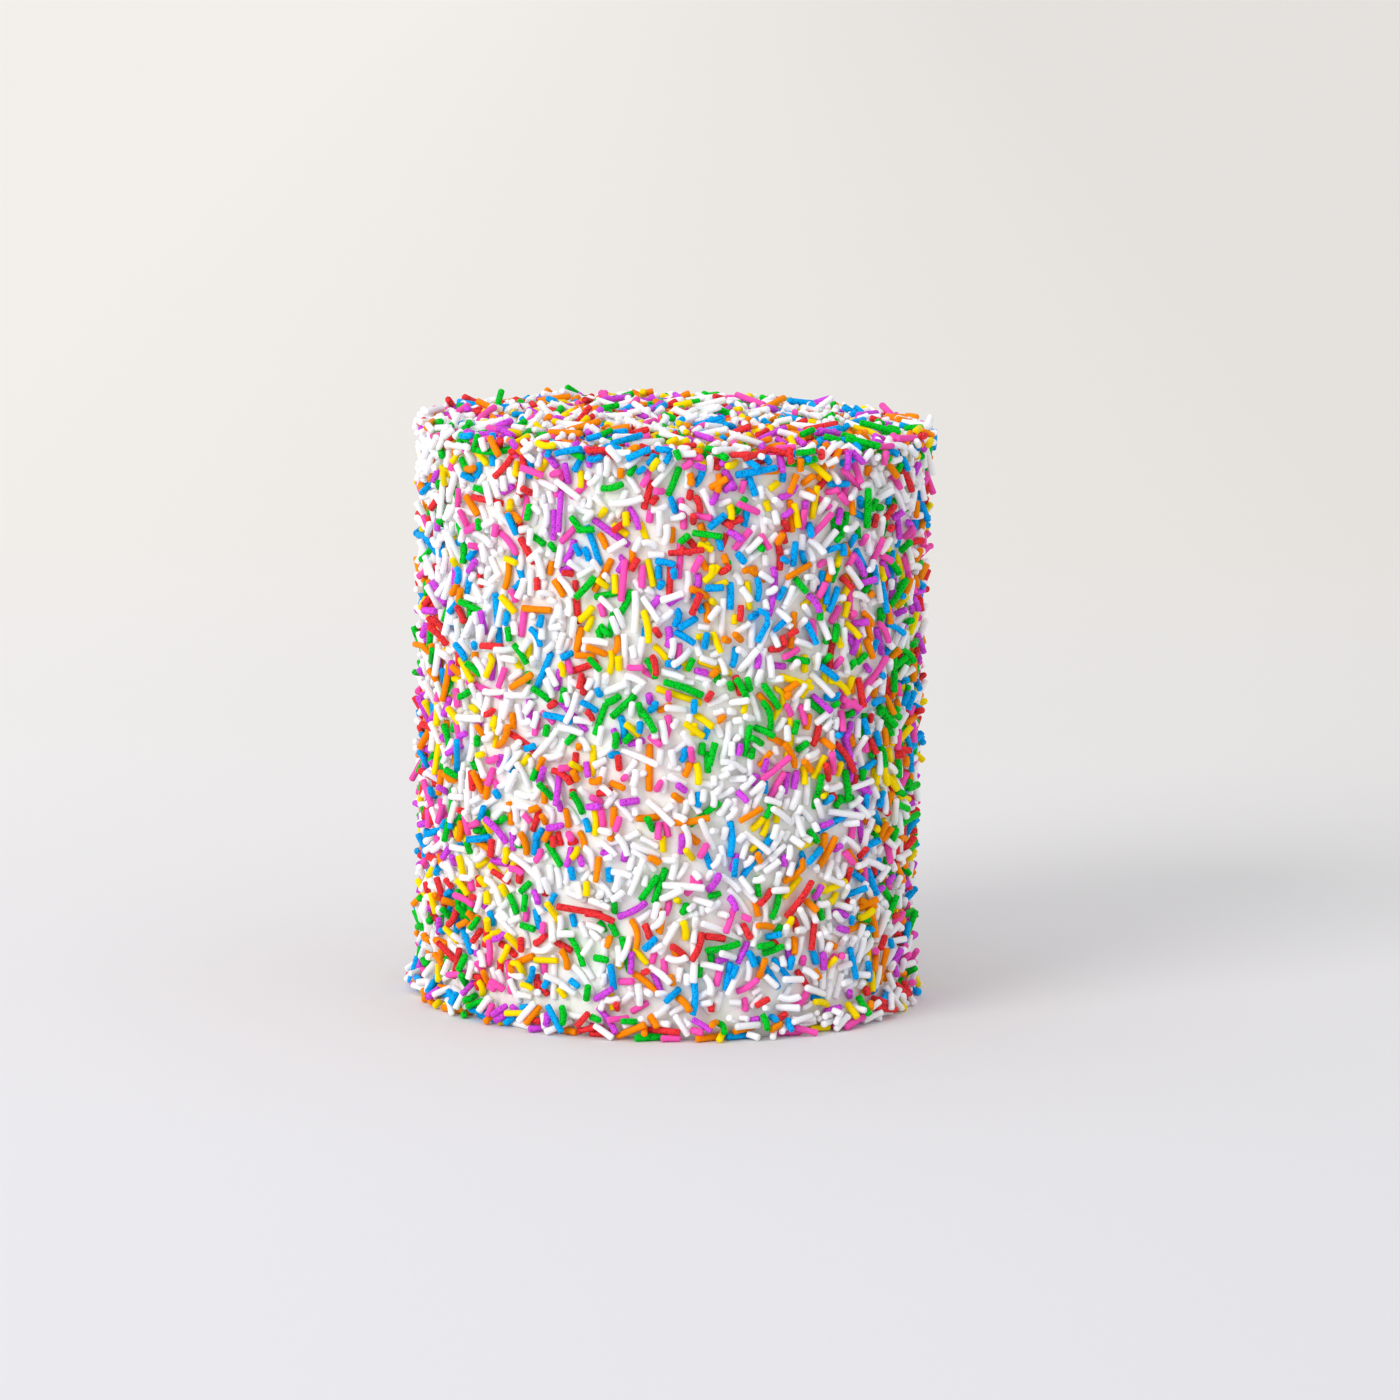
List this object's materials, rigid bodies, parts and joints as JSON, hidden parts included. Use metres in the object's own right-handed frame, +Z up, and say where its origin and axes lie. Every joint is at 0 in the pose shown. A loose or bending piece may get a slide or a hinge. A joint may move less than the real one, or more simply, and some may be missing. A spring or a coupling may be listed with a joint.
{
  "type": "party cake",
  "caption": "Tall round iced cake, uncut and flat underneath, with sugar sprinkles over its side, top, rim and foot.",
  "frame": {"origin": "centre of the flat underside, which rests on a board or a plate", "axes": "+Z up along the cake's axis, -Y towards the front that the picture shows, +X to its right"},
  "size_m": [0.118, 0.1173, 0.1359],
  "materials": {
    "buttercream": "smoothed buttercream, soft satin, a little see-through at its surface",
    "sprinkle_white": "white sugar rod, matte with a faint sheen and fine specks",
    "sprinkle_red": "red sugar rod, matte with a faint sheen and fine specks",
    "sprinkle_orange": "orange sugar rod, matte with a faint sheen and fine specks",
    "sprinkle_yellow": "yellow sugar rod, matte with a faint sheen and fine specks",
    "sprinkle_green": "green sugar rod, matte with a faint sheen and fine specks",
    "sprinkle_blue": "blue sugar rod, matte with a faint sheen and fine specks",
    "sprinkle_purple": "purple sugar rod, matte with a faint sheen and fine specks",
    "sprinkle_pink": "pink sugar rod, matte with a faint sheen and fine specks"
  },
  "bodies": {
    "root": {"party_cake": "buttercream"}
  },
  "joints": []
}
